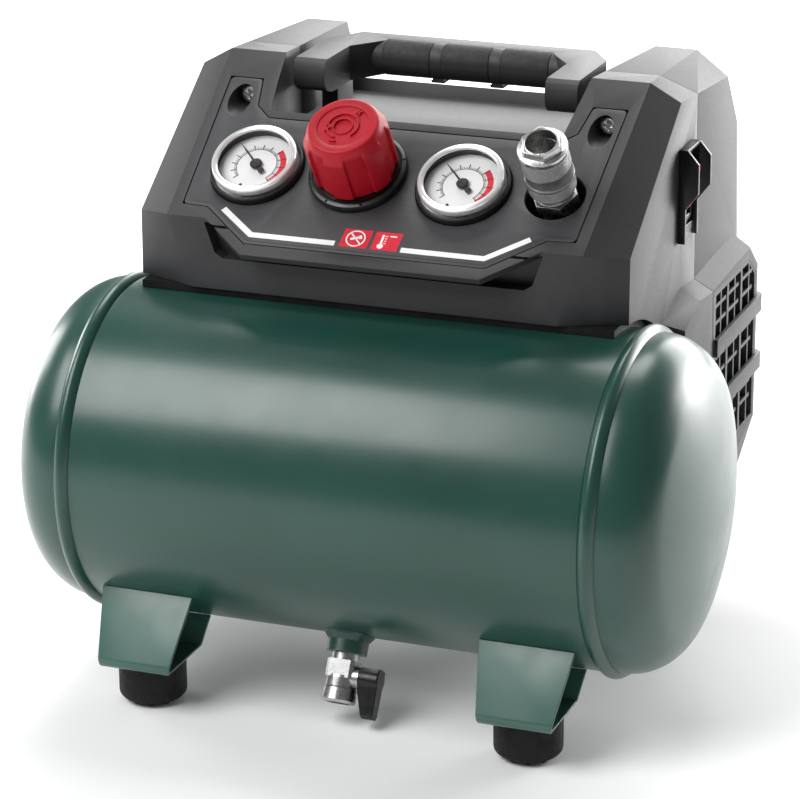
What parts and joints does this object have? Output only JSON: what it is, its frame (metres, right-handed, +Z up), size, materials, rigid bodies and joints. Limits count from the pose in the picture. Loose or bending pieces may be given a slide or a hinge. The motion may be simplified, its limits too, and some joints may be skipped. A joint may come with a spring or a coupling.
{
  "type": "air compressor",
  "caption": "Portable air compressor with a horizontal tank, rubber feet, moulded pump housing, carrying handle, gauges, regulator and quick coupler.",
  "frame": {"origin": "centre of the footprint box, on the floor under the four rubber feet", "axes": "+X along the tank axis to the operator's right, +Y from the controls to the back, +Z up"},
  "size_m": [0.3368, 0.2792, 0.2858],
  "materials": {
    "tank_paint": "satin dark green paint",
    "bracket_paint": "satin dark green paint on bent sheet",
    "cover_plastic": "finely textured anthracite",
    "panel_plastic": "finely textured anthracite with printed lines",
    "dark_plastic": "dark moulded plastic",
    "grip_rubber": "soft grip",
    "foot_rubber": "ribbed black rubber",
    "knob_red": "red moulded plastic",
    "rocker_red": "translucent red",
    "bezel_chrome": "polished ring",
    "dial_white": null,
    "needle_black": "black",
    "lens_clear": "clear",
    "nickel": "satin nickel plate",
    "steel_plate": "black powder coat",
    "zinc_screw": "zinc plated",
    "motor_steel": "laminated steel",
    "copper": "copper windings",
    "cast_alloy": "as cast",
    "brass": "turned"
  },
  "bodies": {
    "machine": {"tank_shell": "tank_paint", "tank_head_left": "tank_paint", "tank_head_right": "tank_paint", "head_welds": "tank_paint", "front_bracket_left": "bracket_paint", "front_bracket_right": "bracket_paint", "rear_carrier": "steel_plate", "rear_brackets": "steel_plate", "front_foot_left": "foot_rubber", "front_foot_right": "foot_rubber", "rear_foot_left": "foot_rubber", "rear_foot_right": "foot_rubber", "frame_screws": "zinc_screw", "drain_boss": "tank_paint", "drain_valve_body": "nickel", "front_cover": "cover_plastic", "rear_cover": "cover_plastic", "control_panel": "panel_plastic", "handle": "cover_plastic", "grip_pads": "grip_rubber", "cover_screws": "zinc_screw", "vent_grille_left": "cover_plastic", "vent_grille_right": "cover_plastic", "tank_seal": "foot_rubber", "switch_guard": "dark_plastic", "switch_frame": "dark_plastic", "switch_box": "dark_plastic", "regulator_body": "brass", "regulator_collar": "dark_plastic", "coupler_base": "nickel", "coupler_nose": "nickel", "motor_stator": "motor_steel", "motor_end_plates": "cast_alloy", "crankcase": "cast_alloy", "cylinder": "cast_alloy", "cylinder_head": "cast_alloy", "piston": "cast_alloy", "check_valve": "brass", "delivery_pipe": "cast_alloy", "air_manifold": "cast_alloy", "safety_valve": "brass", "cable_gland": "dark_plastic", "tank_gauge_case": "dark_plastic", "tank_gauge_bezel": "bezel_chrome", "tank_gauge_dial": "dial_white", "tank_gauge_lens": "lens_clear", "outlet_gauge_case": "dark_plastic", "outlet_gauge_bezel": "bezel_chrome", "outlet_gauge_dial": "dial_white", "outlet_gauge_lens": "lens_clear"},
    "knob": {"regulator_knob": "knob_red"},
    "tank_needle": {"tank_gauge_needle": "needle_black"},
    "outlet_needle": {"outlet_gauge_needle": "needle_black"},
    "coupler_sleeve": {"coupler_sleeve": "nickel"},
    "coupler_poppet": {"coupler_poppet": "brass"},
    "drain_lever": {"drain_lever": "dark_plastic", "drain_valve_ball": "nickel"},
    "rocker": {"switch_rocker": "rocker_red"},
    "rotor": {"motor_rotor": "copper", "cooling_fan": "dark_plastic"}
  },
  "joints": [
    {"name": "knob_turn", "type": "hinge", "parent": "machine", "child": "knob", "pos_m": [-0.017, -0.03518, 0.24567], "axis": [0, -0.5592, 0.829], "range_deg": [-720, 720]},
    {"name": "tank_needle_turn", "type": "hinge", "parent": "machine", "child": "tank_needle", "pos_m": [-0.068, -0.03852, 0.24704], "axis": [0, -0.5592, 0.829], "range_deg": [-180, 90], "stiffness_Nm_per_rad": 0.001},
    {"name": "outlet_needle_turn", "type": "hinge", "parent": "machine", "child": "outlet_needle", "pos_m": [0.036, -0.03852, 0.24704], "axis": [0, -0.5592, 0.829], "range_deg": [-180, 90], "stiffness_Nm_per_rad": 0.001},
    {"name": "sleeve_slide", "type": "slide", "parent": "machine", "child": "coupler_sleeve", "axis": [0, 0.5592, -0.829], "range_m": [0, 0.004], "stiffness_N_per_m": 1200},
    {"name": "poppet_slide", "type": "slide", "parent": "machine", "child": "coupler_poppet", "axis": [0, 0.5592, -0.829], "range_m": [0, 0.003], "stiffness_N_per_m": 600},
    {"name": "drain_turn", "type": "hinge", "parent": "machine", "child": "drain_lever", "pos_m": [0, -0.1066, 0.0214], "axis": [1, 0, 0], "range_deg": [-90, 0]},
    {"name": "rocker_tilt", "type": "hinge", "parent": "machine", "child": "rocker", "pos_m": [0.1205, 0.0334, 0.234], "axis": [0, 1, 0], "range_deg": [-15, 0]},
    {"name": "rotor_spin", "type": "hinge", "parent": "machine", "child": "rotor", "pos_m": [0, 0.0784, 0.12], "axis": [1, 0, 0], "continuous": true}
  ]
}
